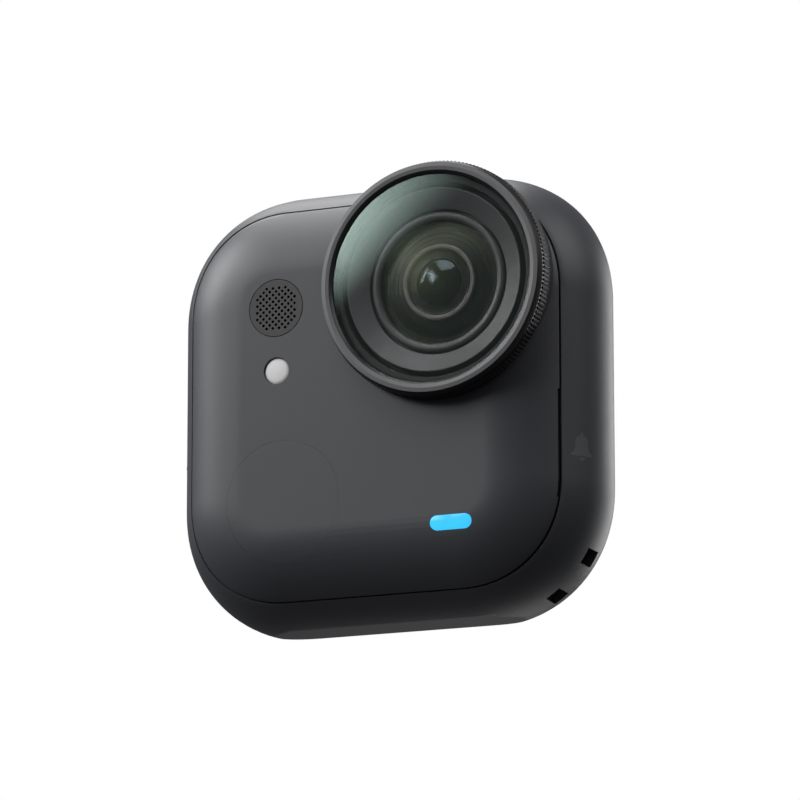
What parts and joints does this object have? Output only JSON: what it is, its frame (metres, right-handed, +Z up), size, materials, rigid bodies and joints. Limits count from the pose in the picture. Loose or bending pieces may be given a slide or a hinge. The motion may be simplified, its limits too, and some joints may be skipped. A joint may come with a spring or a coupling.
{
  "type": "action camera",
  "caption": "Small square action camera: pillow-shaped body with a screw-off lens guard, front shutter button, side card door, lanyard loop and magnetic back.",
  "frame": {"origin": "middle of the flat base, in the plane where the body is widest", "axes": "+Z up, the lens looks along -Y, +X to the viewer's right when facing the lens"},
  "size_m": [0.046, 0.0183, 0.0454],
  "materials": {
    "shell": "fine matt, charcoal",
    "black_plastic": "satin black",
    "guard_metal": "dark satin anodised, knurled edge",
    "trim_metal": "grey satin, metallic paint",
    "glass": "polished, green anti-reflection coating",
    "rubber": "matt black",
    "lamp_white": "translucent white",
    "lamp_blue": "lit cyan blue",
    "board": "green solder mask",
    "chip": "moulded black",
    "steel": "bright",
    "contact_gold": "gold plated",
    "foil": "dull foil",
    "mesh": "fine woven black"
  },
  "bodies": {
    "camera_body": {"front_cover": "shell", "rear_housing": "shell", "front_seal": "rubber", "mic_grille": "shell", "mic_membrane": "mesh", "mic_capsule": "steel", "light_window": "lamp_white", "light_led": "lamp_white", "status_light_pipe": "lamp_blue", "status_led": "lamp_white", "contact_insert": "black_plastic", "magnet_yoke": "steel", "mid_frame": "black_plastic", "main_board": "board", "processor": "chip", "thermal_pad": "rubber", "battery": "foil", "speaker": "chip", "shutter_switch": "steel", "shutter_seal": "rubber", "power_switch": "steel", "card_socket": "steel", "card_bay": "black_plastic", "door_hinge_pin": "steel", "lens_trim_ring": "trim_metal", "lens_retainer_ring": "trim_metal", "front_element": "glass", "lens_barrel": "black_plastic", "baffle_ring": "trim_metal", "second_element": "glass", "third_element": "glass", "element_spacer": "black_plastic", "aperture_stop": "black_plastic", "rear_element": "glass", "ir_filter": "glass", "image_sensor": "chip", "sensor_board": "board", "sensor_flex": "contact_gold", "contact_pad_1": "contact_gold", "contact_pad_2": "contact_gold", "contact_pad_3": "contact_gold", "contact_pad_4": "contact_gold", "contact_pad_5": "contact_gold", "mount_magnet_1": "steel", "frame_screw_1": "steel", "mount_magnet_2": "steel", "frame_screw_2": "steel", "mount_magnet_3": "steel", "frame_screw_3": "steel", "mount_magnet_4": "steel", "frame_screw_4": "steel"},
    "guard_thread_seal": {"guard_seal": "rubber"},
    "lens_guard": {"guard_ring": "guard_metal", "guard_glass": "glass", "guard_gasket": "rubber"},
    "shutter_button": {"shutter_button": "shell"},
    "power_button": {"power_button": "shell"},
    "card_door": {"card_door": "shell", "door_seal": "rubber"},
    "memory_card": {"memory_card": "chip"}
  },
  "joints": [
    {"name": "guard_rise", "type": "slide", "parent": "camera_body", "child": "guard_thread_seal", "axis": [0, -1, 0], "range_m": [0, 0.0031]},
    {"name": "guard_turn", "type": "hinge", "parent": "guard_thread_seal", "child": "lens_guard", "pos_m": [0.00843, -0.0097, 0.03294], "axis": [0, -1, 0], "range_deg": [0, 360]},
    {"name": "shutter_press", "type": "slide", "parent": "camera_body", "child": "shutter_button", "axis": [0, 1, 0], "range_m": [0, 0.00035], "stiffness_N_per_m": 3000, "springref_m": -0.0002},
    {"name": "power_press", "type": "slide", "parent": "camera_body", "child": "power_button", "axis": [0, 0, -1], "range_m": [0, 0.00035], "stiffness_N_per_m": 3000, "springref_m": -0.0002},
    {"name": "door_swing", "type": "hinge", "parent": "camera_body", "child": "card_door", "pos_m": [-0.02185, -0.0005, 0.01785], "axis": [0, -1, 0], "range_deg": [0, 95]},
    {"name": "card_slide", "type": "slide", "parent": "camera_body", "child": "memory_card", "axis": [-1, 0, 0], "range_m": [-0.0004, 0.001]}
  ],
  "couplings": [
    {"joint": "guard_rise", "follows": "guard_turn", "m_per_rad": 0.000477}
  ]
}
